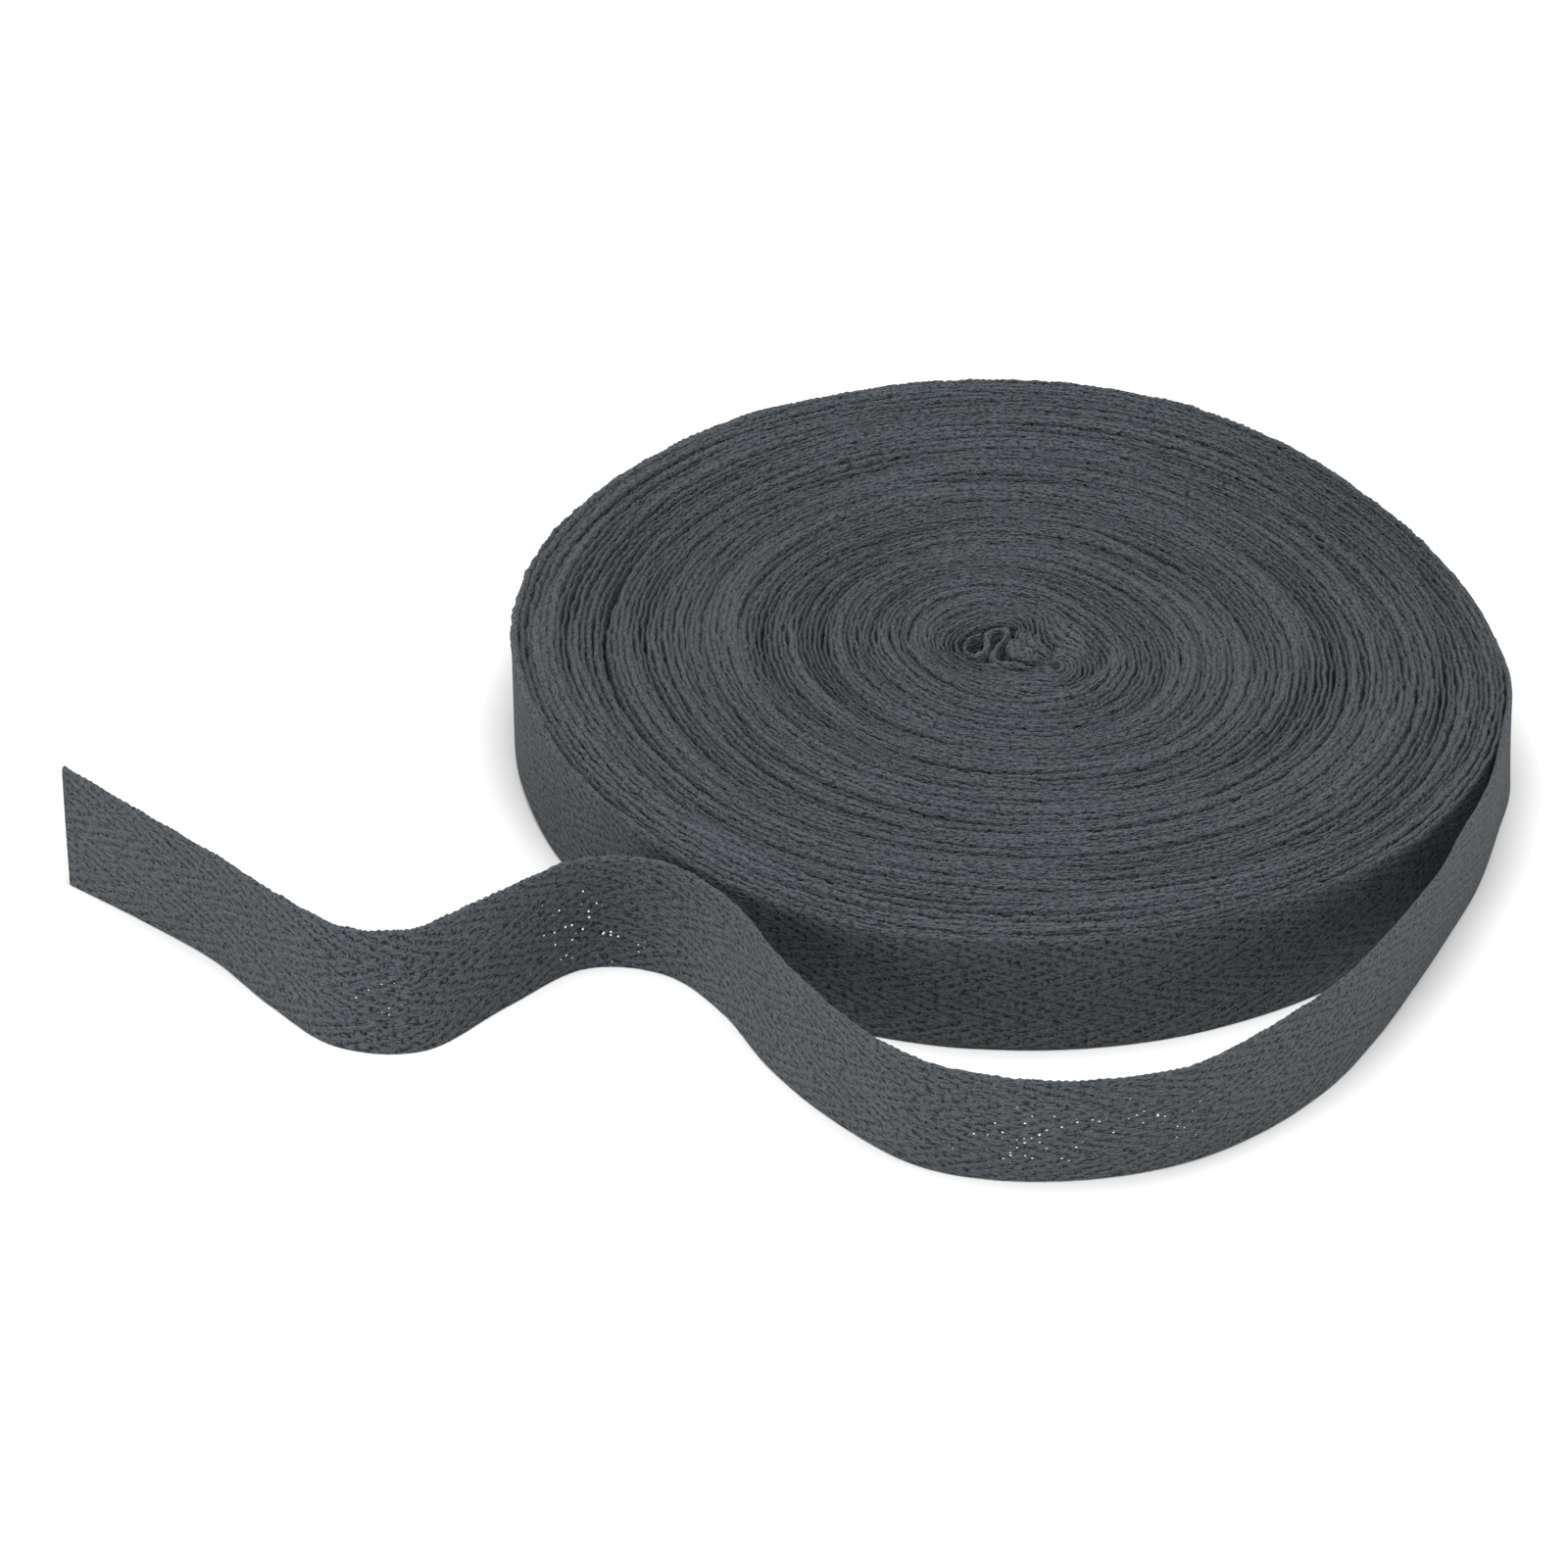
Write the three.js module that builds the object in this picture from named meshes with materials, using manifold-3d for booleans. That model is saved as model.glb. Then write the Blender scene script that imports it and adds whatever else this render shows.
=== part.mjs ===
// A roll of slate-grey cotton herringbone tape, wound flat on itself without a core.
// It lies on its side, and its loose end stands on edge in a long wave before it.
import * as THREE from 'three';
import { mergeVertices } from 'three/addons/utils/BufferGeometryUtils.js';
import Module from 'manifold-3d';

// Driving dimensions in millimetres and degrees.
// The origin is under the middle of the roll, on the table, and the front is towards -Y.
const TAPE_WIDTH = 20;
const TAPE_THICKNESS = 1;
const GAP = 0.3;

const ROLL_RADIUS = 76.5;
const ROLL_COLUMNS = 100;
const SELVAGE_ROUND = 0.4;
const RIM_TURNS_WIDTH = 3.6;
const FRONT_LIFT = 2.4;
const FRONT_LIFT_SHARPNESS = 6;
const LEAVING_ANGLE = 3;
const LEAVING_STEP_ANGLE = 0.4;

// The outline is a circle with a few shallow lobes, each widest towards its angle.
const OUTLINE_LOBES = [
  { count: 2, swell: 3.3, towards: -54 },
  { count: 3, swell: 0.6, towards: -29 },
  { count: 4, swell: 0.8, towards: -15 },
];

// On one side the outer turns lean outwards, so the roll is narrower at its foot there.
const FLARE = { undercut: 1.5, towards: -22, sharpness: 8 };

// Furrows part the groups of turns: share of the outline, greatest depth, and where that is.
// Round to the far side the depth falls by twice the swing.
const FURROW_WIDTH = 1.5;
const FURROW_MIDDLE = 0.6;
const FURROW_SWING = 0.4;
const FURROWS = [
  { share: 0.33, depth: 1.1, towards: 5 },
  { share: 0.45, depth: 1.0, towards: 180 },
  { share: 0.55, depth: 1.3, towards: 175 },
  { share: 0.67, depth: 1.4, towards: 185 },
  { share: 0.78, depth: 1.5, towards: 0 },
  { share: 0.87, depth: 2.0, towards: 170 },
];

// The tape starts in a flat S fold, whose two loops stand open at the middle of the top.
const CORE_CENTRE = { x: 0.8, y: 1 };
const CORE_SHARE = 0.12;
const POCKET_DEPTH = 9;
const POCKET_SIDES = 14;
const POCKETS = [
  { x: -4.3, y: 2.4, length: 4.6, width: 2.1, turned: 71 },
  { x: -0.6, y: 4.1, length: 4.4, width: 1.5, turned: 50 },
];

// The loose end's route along the table from the roll to the cut, with its lean in degrees,
// counted towards the side that the roll is on.
const LOOSE_END_STATIONS = [
  { x: 77.5, y: -7.5, lean: 1 },
  { x: 75.0, y: -21, lean: -3 },
  { x: 71.5, y: -35, lean: -6 },
  { x: 66.5, y: -48, lean: -7 },
  { x: 61.0, y: -61, lean: -8 },
  { x: 55.0, y: -74, lean: -6 },
  { x: 48.0, y: -86, lean: -5 },
  { x: 38.0, y: -97, lean: -5 },
  { x: 26.0, y: -105, lean: -9 },
  { x: 12.0, y: -109, lean: -8 },
  { x: -2.0, y: -109, lean: -5 },
  { x: -14.0, y: -104.8, lean: -2 },
  { x: -25.7, y: -93.8, lean: 1 },
  { x: -34.7, y: -81.5, lean: 4 },
  { x: -42.0, y: -67.5, lean: 4 },
  { x: -51.0, y: -57.5, lean: 2 },
  { x: -63.5, y: -56, lean: 1 },
  { x: -75.0, y: -66, lean: 4 },
  { x: -86.5, y: -77, lean: 11 },
  { x: -99.5, y: -76, lean: 9 },
  { x: -110.0, y: -65.5, lean: 4 },
  { x: -119.0, y: -54, lean: 0 },
  { x: -130.0, y: -44, lean: 1 },
  { x: -142.3, y: -34, lean: 5 },
];
const STEPS_PER_STATION = 5;
const LOOSE_END_ROWS = 3;
const CUT_SLANT = 2;

const radians = THREE.MathUtils.degToRad;

const cotton = new THREE.MeshStandardMaterial({ color: 0x484c4f, roughness: 0.95, metalness: 0 });

const wasm = await Module();
wasm.setup();

// Shared vertices alone make a mesh closed, so normals and uvs are dropped first.
function toSolid(geometry) {
  geometry.deleteAttribute('normal');
  geometry.deleteAttribute('uv');
  const merged = mergeVertices(geometry);
  return new wasm.Manifold(new wasm.Mesh({
    numProp: 3,
    vertProperties: new Float32Array(merged.attributes.position.array),
    triVerts: new Uint32Array(merged.index.array),
  }));
}

function toGeometry(solid) {
  const mesh = solid.getMesh();
  const geometry = new THREE.BufferGeometry();
  geometry.setAttribute('position', new THREE.BufferAttribute(new Float32Array(mesh.vertProperties), 3));
  geometry.setIndex(new THREE.BufferAttribute(new Uint32Array(mesh.triVerts), 1));
  geometry.computeVertexNormals();
  return geometry;
}

// A closed shell from equal loops of points: each loop is joined to the next,
// and the first and last are closed with a fan around their middle.
function shellFromLoops(loops) {
  const size = loops[0].length;
  const points = loops.flat();
  const faces = [];
  for (let loop = 0; loop + 1 < loops.length; loop += 1) {
    for (let i = 0; i < size; i += 1) {
      const a = loop * size + i;
      const b = loop * size + (i + 1) % size;
      faces.push(a, b, b + size, a, b + size, a + size);
    }
  }
  const last = (loops.length - 1) * size;
  const firstMiddle = points.length;
  for (const loop of [loops[0], loops[loops.length - 1]]) {
    const middle = new THREE.Vector3();
    loop.forEach((point) => middle.add(point));
    points.push(middle.divideScalar(size));
  }
  for (let i = 0; i < size; i += 1) {
    const next = (i + 1) % size;
    faces.push(firstMiddle, next, i, firstMiddle + 1, last + i, last + next);
  }
  const geometry = new THREE.BufferGeometry().setFromPoints(points);
  geometry.setIndex(faces);
  return geometry;
}

// The outline's long oval is kept up to the flattened core, and its other lobes fade inwards.
function turnRadius(share, angle) {
  let radius = share * ROLL_RADIUS;
  for (const lobe of OUTLINE_LOBES) {
    const fade = lobe.count === 2 ? Math.min(1, share / CORE_SHARE) : share;
    radius += fade * lobe.swell * Math.cos(lobe.count * (angle - radians(lobe.towards)));
  }
  return radius;
}

// The outermost turn steps in by one layer where the loose end leaves it.
function outerRadius(column, height) {
  const layer = TAPE_THICKNESS + GAP;
  const facing = Math.max(0, Math.cos(column.angle - radians(FLARE.towards))) ** FLARE.sharpness;
  const undercut = FLARE.undercut * facing * (1 - height / TAPE_WIDTH);
  return turnRadius(1, column.angle) + layer * (0.5 - column.round) - undercut;
}

function rollColumns() {
  const columns = [];
  for (let i = 0; i < ROLL_COLUMNS; i += 1) {
    const round = i / ROLL_COLUMNS;
    columns.push({ round, angle: radians(LEAVING_ANGLE + 360 * round) });
  }
  columns.push({ round: 1, angle: radians(LEAVING_ANGLE - LEAVING_STEP_ANGLE) });
  return columns;
}

// The wound turns stand on edge, pushed up a little at the front inside the outermost few.
function topHeight(share, angle) {
  const front = Math.max(0, -Math.sin(angle));
  return TAPE_WIDTH + FRONT_LIFT * share * front ** FRONT_LIFT_SHARPNESS;
}

function rollLoop(columns, pointAt) {
  return columns.map((column) => {
    const { radius, height, share } = pointAt(column);
    const drift = 1 - share;
    return new THREE.Vector3(
      radius * Math.cos(column.angle) + drift * CORE_CENTRE.x,
      radius * Math.sin(column.angle) + drift * CORE_CENTRE.y,
      height,
    );
  });
}

function topLoop(columns, share, inset, depthAt) {
  return rollLoop(columns, ({ angle }) => ({
    share,
    radius: turnRadius(share, angle) - inset,
    height: topHeight(share, angle) - depthAt(angle),
  }));
}

// Each furrow is a shallow valley of three loops, with flat land up to the next one.
function furrowLoops(columns, furrow) {
  const half = FURROW_WIDTH / 2;
  const flat = () => 0;
  const swing = (angle) => FURROW_SWING * Math.cos(angle - radians(furrow.towards));
  const deep = (angle) => furrow.depth * (FURROW_MIDDLE + swing(angle));
  return [
    topLoop(columns, furrow.share, -half, flat),
    topLoop(columns, furrow.share, 0, deep),
    topLoop(columns, furrow.share, half, flat),
  ];
}

function outerLoop(columns, inset, height) {
  return rollLoop(columns, (column) => ({
    share: 1,
    radius: outerRadius(column, height) - inset,
    height,
  }));
}

function pocketSolid(pocket) {
  const across = new THREE.EllipseCurve(0, 0, pocket.length / 2, pocket.width / 2);
  const outline = new THREE.Shape(across.getPoints(POCKET_SIDES).slice(0, -1));
  const depth = POCKET_DEPTH + TAPE_WIDTH;
  const cutter = new THREE.ExtrudeGeometry(outline, { depth, bevelEnabled: false });
  cutter.rotateZ(radians(pocket.turned));
  cutter.translate(pocket.x, pocket.y, TAPE_WIDTH - POCKET_DEPTH);
  return toSolid(cutter);
}

function woundRoll() {
  const columns = rollColumns();
  const rimShare = 1 - RIM_TURNS_WIDTH / ROLL_RADIUS;
  const flat = () => 0;
  const down = (angle) => topHeight(rimShare, angle) - TAPE_WIDTH;
  const loops = [
    outerLoop(columns, ROLL_RADIUS / 2, 0),
    outerLoop(columns, SELVAGE_ROUND, 0),
    outerLoop(columns, 0, SELVAGE_ROUND),
    outerLoop(columns, 0, TAPE_WIDTH - SELVAGE_ROUND),
    outerLoop(columns, SELVAGE_ROUND, TAPE_WIDTH),
    topLoop(columns, rimShare, 0, down),
    topLoop(columns, rimShare, SELVAGE_ROUND, flat),
  ];
  for (const furrow of FURROWS.toReversed()) {
    loops.push(...furrowLoops(columns, furrow));
  }
  loops.push(topLoop(columns, FURROWS[0].share / 2, 0, flat));
  let solid = toSolid(shellFromLoops(loops));
  for (const pocket of POCKETS) {
    solid = solid.subtract(pocketSolid(pocket));
  }
  return toGeometry(solid);
}

// The first station lies against the roll, one gap outside the step that the tape leaves.
function looseEndStart() {
  const angle = radians(LEAVING_ANGLE - 2 * LEAVING_STEP_ANGLE);
  const radius = outerRadius({ angle, round: 1 }, TAPE_WIDTH) + GAP + TAPE_THICKNESS / 2;
  return new THREE.Vector3(radius * Math.cos(angle), radius * Math.sin(angle), 0);
}

// Each cross section stands on the table, leaning over about its lower edge.
function looseEndSection(middle, heading, lean, slant) {
  const sideways = new THREE.Vector3(heading.y, -heading.x, 0);
  const section = [];
  const addRow = (share, side) => {
    const height = share * TAPE_WIDTH;
    const point = middle.clone();
    point.addScaledVector(sideways, height * Math.sin(lean) + side * TAPE_THICKNESS / 2);
    point.addScaledVector(heading, slant * share);
    point.z = height * Math.cos(lean);
    section.push(point);
  };
  for (let row = 0; row <= LOOSE_END_ROWS; row += 1) {
    addRow(row / LOOSE_END_ROWS, -1);
  }
  for (let row = LOOSE_END_ROWS; row >= 0; row -= 1) {
    addRow(row / LOOSE_END_ROWS, 1);
  }
  return section;
}

function looseEnd() {
  const stations = LOOSE_END_STATIONS.map(({ x, y, lean }) => new THREE.Vector3(x, y, lean));
  const route = new THREE.CatmullRomCurve3([looseEndStart(), ...stations], false, 'catmullrom', 0.5);
  const steps = STEPS_PER_STATION * stations.length;
  const loops = [];
  for (let i = 0; i <= steps; i += 1) {
    const along = i / steps;
    const station = route.getPoint(along);
    const heading = route.getTangent(along).setZ(0).normalize();
    const slant = i === steps ? CUT_SLANT : 0;
    loops.push(looseEndSection(new THREE.Vector3(station.x, station.y, 0), heading, radians(station.z), slant));
  }
  return toGeometry(toSolid(shellFromLoops(loops)));
}

function piece(name, geometry) {
  const mesh = new THREE.Mesh(geometry, cotton);
  mesh.name = name;
  return mesh;
}

const group = new THREE.Group();
group.add(piece('roll', woundRoll()));
group.add(piece('loose_end', looseEnd()));

export default group;
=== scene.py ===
# A roll of slate-grey cotton herringbone tape, wound flat on itself without a core.
# It lies on its side, and its loose end stands on edge in a long wave before it.
import math

import bmesh
import bpy
import numpy as np
from mathutils import Matrix, Vector, noise


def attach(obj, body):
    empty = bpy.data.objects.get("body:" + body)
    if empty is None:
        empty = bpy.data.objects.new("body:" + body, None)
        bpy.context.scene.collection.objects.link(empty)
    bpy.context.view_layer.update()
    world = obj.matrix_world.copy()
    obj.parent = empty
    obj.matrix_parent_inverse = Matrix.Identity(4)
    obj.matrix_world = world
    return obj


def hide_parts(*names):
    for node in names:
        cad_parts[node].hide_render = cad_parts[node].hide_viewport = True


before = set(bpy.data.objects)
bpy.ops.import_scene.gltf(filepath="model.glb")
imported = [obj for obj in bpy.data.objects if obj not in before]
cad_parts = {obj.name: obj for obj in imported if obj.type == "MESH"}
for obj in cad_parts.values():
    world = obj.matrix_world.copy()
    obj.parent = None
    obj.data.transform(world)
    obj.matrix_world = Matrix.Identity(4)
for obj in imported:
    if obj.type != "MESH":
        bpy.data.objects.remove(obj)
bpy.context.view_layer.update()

# Camera
# It looks down at the roll from the front, a step away, through a long lens.
# Its upright is that of a view straight at the roll, and it is turned a little to the left
# so that the loose end comes into the frame.
VIEW_HEIGHT_ANGLE = 34.3
VIEW_DISTANCE = 1.6
AIM = Vector((-0.0341, -0.0069, 0.0))
SENSOR_WIDTH = 36
# The photo's width in pixels, and how many of them a metre takes at the view distance.
PHOTO_WIDTH = 1600
PIXELS_PER_METRE = 6580

tilt = math.radians(VIEW_HEIGHT_ANGLE)
stand_point = VIEW_DISTANCE * Vector((0, -math.cos(tilt), math.sin(tilt)))
roll_upright = Vector((0, math.sin(tilt), math.cos(tilt)))
camera_back = (stand_point - AIM).normalized()
camera_right = roll_upright.cross(camera_back).normalized()
camera_up = camera_back.cross(camera_right)
camera_data = bpy.data.cameras.new("camera")
camera_data.sensor_width = SENSOR_WIDTH
field_width = PHOTO_WIDTH / PIXELS_PER_METRE
camera_data.lens = SENSOR_WIDTH * VIEW_DISTANCE / field_width
camera = bpy.data.objects.new("camera", camera_data)
turned = Matrix((camera_right, camera_up, camera_back)).transposed()
camera.matrix_world = Matrix.Translation(stand_point) @ turned.to_4x4()
bpy.context.scene.collection.objects.link(camera)
bpy.context.scene.camera = camera

# Table and light
# A plain pale table under one large soft lamp overhead and one to each side in front, with
# a little even white light from all round, as for a picture in a shop's list.
TABLE_SIZE = 6
TABLE_COLOUR = (0.88, 0.88, 0.88, 1)
TABLE_ROUGHNESS = 0.9
ROOM_COLOUR = (1, 1, 1, 1)
ROOM_LIGHT = 0.15
LAMPS = [
    {"name": "lamp_overhead", "at": (0.0, -0.4, 1.95), "size": 1.4, "power": 51},
    {"name": "lamp_left", "at": (-1.5, -0.9, 0.34), "size": 0.66, "power": 15},
    {"name": "lamp_right", "at": (1.65, -0.55, 0.32), "size": 0.62, "power": 11},
]

table_shape = bmesh.new()
bmesh.ops.create_grid(table_shape, x_segments=1, y_segments=1, size=TABLE_SIZE / 2)
table_mesh = bpy.data.meshes.new("table")
table_shape.to_mesh(table_mesh)
table_shape.free()
table = bpy.data.objects.new("table", table_mesh)
bpy.context.scene.collection.objects.link(table)

table_paint = bpy.data.materials.new("pale_table")
table_paint.use_nodes = True
table_shader = table_paint.node_tree.nodes["Principled BSDF"]
table_shader.inputs["Base Color"].default_value = TABLE_COLOUR
table_shader.inputs["Roughness"].default_value = TABLE_ROUGHNESS
table_mesh.materials.append(table_paint)

for lamp in LAMPS:
    light = bpy.data.lights.new(lamp["name"], "AREA")
    light.size = lamp["size"]
    light.energy = lamp["power"]
    holder = bpy.data.objects.new(lamp["name"], light)
    holder.location = lamp["at"]
    holder.rotation_euler = Vector(lamp["at"]).to_track_quat("Z", "Y").to_euler()
    bpy.context.scene.collection.objects.link(holder)

room = bpy.data.worlds.new("room")
room.use_nodes = True
all_round = room.node_tree.nodes["Background"]
all_round.inputs["Color"].default_value = ROOM_COLOUR
all_round.inputs["Strength"].default_value = ROOM_LIGHT
bpy.context.scene.world = room
bpy.context.scene.view_settings.view_transform = "Standard"

# Wound tape
# Some 21 m of one cotton tape, wound from a small flat fold outwards, clockwise seen from
# above. All its turns stand on edge, squeezed tighter towards the middle, and here and there
# two of them gape. Sizes are in millimetres and angles in degrees, as in the roll's solid.
MM = 0.001
TAPE_WIDTH = 20
TAPE_THICKNESS = 0.95
SOLID_THICKNESS = 1.0
SOLID_LAYER = 1.3

# The roll is a little out of round. Its turns lean out at the top where the loose end leaves
# it, and those in front stand higher, apart from the ones at the rim.
ROLL_RADIUS = 76.5
OUTLINE_LOBES = [
    {"count": 2, "inner": 2.0, "outer": 3.3, "towards": -45, "turning": -9, "onset": 4},
    {"count": 3, "inner": 0.0, "outer": 0.6, "towards": -29, "turning": 0, "onset": 6},
    {"count": 4, "inner": 0.0, "outer": 0.8, "towards": -15, "turning": 0, "onset": 2},
]
CORE_CENTRE = (0.8, 1.0)
SIDE_DRIFT = 1.6
DRIFT_ONSET = 3
FLARE = {"undercut": 1.5, "towards": -22, "sharpness": 8, "from_share": 5 / 6}
FRONT_LIFT = {"height": 2.4, "sharpness": 6, "rim_turns": 4, "fade_turns": 1.25}

# The oval turns, from the first one outwards, and how much of its room each of them fills.
SETTLED_DEPTH = 16
SETTLED_TURNS = 71.825
TURN_STEPS = 360
TIGHTENING = 0.13
CLOSENESS = 0.99
THINNEST = 0.5
THICKEST = 1.12
FOLD_THICKNESS = 0.95
FOOT = 0.35

# The first turns follow the fold's hollow side. Each row is a point of the first turn, and
# the angle at which it ends up on the first oval turn, CORE_TURNS further out.
CORE_TURNS = 12
CORE_STEPS = 16
CORE_TURN = [
    {"angle": -60, "x": 5.4, "y": -6.3},
    {"angle": -80, "x": 2.4, "y": -5.8},
    {"angle": -103, "x": -0.7, "y": -4.8},
    {"angle": -128, "x": -3.2, "y": -3.5},
    {"angle": -150, "x": -5.5, "y": -2.0},
    {"angle": -170, "x": -6.9, "y": 0.1},
    {"angle": -187, "x": -7.4, "y": 2.1},
    {"angle": -204, "x": -6.7, "y": 4.2},
    {"angle": -222, "x": -4.9, "y": 5.9},
    {"angle": -240, "x": -2.9, "y": 7.2},
    {"angle": -262, "x": -0.9, "y": 7.9},
    {"angle": -290, "x": 1.2, "y": 7.6},
    {"angle": -308, "x": 1.9, "y": 6.1},
    {"angle": -316, "x": 1.3, "y": 3.8},
    {"angle": -323, "x": 0.4, "y": 1.7},
    {"angle": -330, "x": 0.0, "y": -0.3},
    {"angle": -337, "x": 0.5, "y": -2.1},
    {"angle": -346, "x": 1.9, "y": -3.1},
    {"angle": -356, "x": 3.9, "y": -3.4},
    {"angle": -366, "x": 6.0, "y": -3.3},
    {"angle": -378, "x": 7.7, "y": -3.8},
    {"angle": -392, "x": 8.3, "y": -5.1},
    {"angle": -406, "x": 7.5, "y": -6.6},
]

# The tape's inner end: round one open loop, back up, round the next, and along to the fold.
FOLD = [
    {"x": -3.7, "y": 5.0},
    {"x": -5.2, "y": 4.1},
    {"x": -6.2, "y": 2.4},
    {"x": -6.1, "y": 0.8},
    {"x": -5.3, "y": -0.7},
    {"x": -4.2, "y": -1.3},
    {"x": -3.2, "y": -0.8},
    {"x": -2.8, "y": 0.7},
    {"x": -2.8, "y": 2.6},
    {"x": -2.7, "y": 4.5},
    {"x": -2.1, "y": 5.9},
    {"x": -1.1, "y": 6.5},
    {"x": 0.0, "y": 6.1},
    {"x": 0.5, "y": 5.1},
    {"x": 0.2, "y": 4.0},
    {"x": -0.5, "y": 2.8},
    {"x": -1.1, "y": 1.2},
    {"x": -1.6, "y": -0.3},
    {"x": -1.6, "y": -1.8},
    {"x": -0.8, "y": -3.1},
    {"x": 0.9, "y": -4.0},
    {"x": 3.6, "y": -4.3},
    {"x": 5.9, "y": -4.2},
    {"x": 6.8, "y": -4.6},
    {"x": 6.8, "y": -5.4},
    {"x": 6.3, "y": -6.0},
]

# Where two turns gape: the angle and depth of the gap's middle, how far it reaches to each
# side, and how wide it is there. The turns beside a gap sink by so many times its width.
GAPS = [
    {"angle": 170, "depth": 64.0, "reach": 60, "width": 0.50},
    {"angle": 160, "depth": 66.6, "reach": 45, "width": 0.21},
    {"angle": 145, "depth": 61.2, "reach": 25, "width": 0.24},
    {"angle": 125, "depth": 55.5, "reach": 38, "width": 0.30},
    {"angle": -10, "depth": 61.0, "reach": 65, "width": 0.30},
    {"angle": -30, "depth": 64.6, "reach": 45, "width": 0.27},
    {"angle": -35, "depth": 67.6, "reach": 50, "width": 0.21},
    {"angle": -25, "depth": 50.5, "reach": 45, "width": 0.30},
    {"angle": -40, "depth": 45.2, "reach": 40, "width": 0.18},
    {"angle": -32, "depth": 34.0, "reach": 50, "width": 0.27},
    {"angle": -25, "depth": 28.8, "reach": 40, "width": 0.21},
    {"angle": -38, "depth": 21.5, "reach": 40, "width": 0.21},
    {"angle": -30, "depth": 24.2, "reach": 40, "width": 0.15},
    {"angle": 205, "depth": 48.2, "reach": 35, "width": 0.33},
    {"angle": 160, "depth": 48.3, "reach": 30, "width": 0.18},
    {"angle": 140, "depth": 42.4, "reach": 42, "width": 0.27},
    {"angle": 205, "depth": 41.2, "reach": 38, "width": 0.21},
    {"angle": 202, "depth": 37.6, "reach": 25, "width": 0.30},
    {"angle": 120, "depth": 35.2, "reach": 55, "width": 0.27},
    {"angle": 52, "depth": 36.4, "reach": 22, "width": 0.24},
    {"angle": 175, "depth": 28.6, "reach": 50, "width": 0.18},
    {"angle": 205, "depth": 26.3, "reach": 40, "width": 0.18},
    {"angle": 97, "depth": 47.8, "reach": 30, "width": 0.21},
    {"angle": 45, "depth": 49.8, "reach": 28, "width": 0.18},
    {"angle": 215, "depth": 58.2, "reach": 45, "width": 0.21},
    {"angle": 15, "depth": 58.6, "reach": 35, "width": 0.18},
    {"angle": 15, "depth": 71.8, "reach": 30, "width": 0.21},
    {"angle": 275, "depth": 52.0, "reach": 40, "width": 0.15},
    {"angle": 222, "depth": 68.2, "reach": 25, "width": 0.18},
    {"angle": 95, "depth": 70.5, "reach": 50, "width": 0.15},
]
GAP_FADE = 2.5
GAP_DIP = 3.4

# How uneven the turns lie. Bundles of turns stand a little higher or lower together, each
# turn wanders in height and sways, and its selvage is a row of small loops, pinched here and
# spread there. Heights and sways fade out over the last part of a turn before the loose end.
BUNDLES = [
    {"rise": 0.8, "deep": 5.0, "long": 60},
    {"rise": 1.0, "deep": 1.5, "long": 30},
]
RISES = [
    {"length": 170, "height": 0.16},
    {"length": 43, "height": 0.26},
    {"length": 12, "height": 0.12},
]
SWAYS = [
    {"length": 37, "width": 0.10},
    {"length": 7, "width": 0.09},
]
PINCH = {"mean": 1.06, "with_bundle": 0.55, "swing": 0.14, "length": 26}
LOOP_LENGTH = 1.2
LOOP_RISE = 0.13
LOOP_SWING = 0.15
LOOP_SHIFT = {"swing": 0.5, "length": 2.3}
LOOP_SIZE = {"mean": 0.55, "swing": 0.45, "length": 2.9}
LOOP_WANDER = {"swing": 1.2, "length": 1.8}
LAST_FADE = 1 / 3
LAST_SWAY_FADE = 1 / 20
STEP = 0.42
SEED = 7

dice = np.random.default_rng(SEED)


def catmull(points, steps):
    """A smooth line through the points, with so many steps from each to the next."""
    points = np.asarray(points, float)
    first = 2 * points[0] - points[1]
    last = 2 * points[-1] - points[-2]
    padded = np.vstack([first, points, last])
    share = (np.arange(steps) / steps)[:, None]
    line = []
    for before, start, end, after in zip(padded, padded[1:], padded[2:], padded[3:]):
        leave = (end - before) / 2
        arrive = (after - start) / 2
        swing = 2 * (start - end) + leave + arrive
        bend = -3 * (start - end) - 2 * leave - arrive
        line.append(start + share * leave + share**2 * bend + share**3 * swing)
    line.append(points[-1:])
    return np.vstack(line)


def course(line):
    """Which way a line heads at each of its points, and which way its left side faces."""
    heading = np.gradient(line, axis=0)
    heading /= np.hypot(*heading.T)[:, None]
    return heading, np.stack([-heading[:, 1], heading[:, 0]], -1)


def way_along(line):
    """How far along a line, seen from above, each of its points lies."""
    return np.concatenate([[0], np.cumsum(np.hypot(*np.diff(line[:, :2], axis=0).T))])


def turn_point(depth, angle):
    """The middle of a turn at a depth, which is its radius without the outline's lobes.
    Between the roll's middle and rim it lies up to SIDE_DRIFT further to the right."""
    share = depth / ROLL_RADIUS
    radius = np.array(depth, float)
    for lobe in OUTLINE_LOBES:
        swell = lobe["inner"] + (lobe["outer"] - lobe["inner"]) * share ** lobe["onset"]
        towards = lobe["towards"] + lobe["turning"] * share
        radius = radius + swell * np.cos(lobe["count"] * np.radians(angle - towards))
    eased = share**DRIFT_ONSET
    drift = SIDE_DRIFT * 4 * eased * np.maximum(0, 1 - eased)
    x = radius * np.cos(np.radians(angle)) + (1 - share) * CORE_CENTRE[0] + drift
    y = radius * np.sin(np.radians(angle)) + (1 - share) * CORE_CENTRE[1]
    return np.stack([x, y], -1)


def smooth_noise(places, wavelength):
    """Even bumps along a line, each about a wavelength long, between -1 and 1."""
    places = np.asarray(places) / wavelength
    knots = dice.uniform(-1, 1, int(places.max()) + 3)
    before = np.floor(places).astype(int)
    ease = (1 - np.cos(np.pi * (places - before))) / 2
    return knots[before] * (1 - ease) + knots[before + 1] * ease


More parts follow.
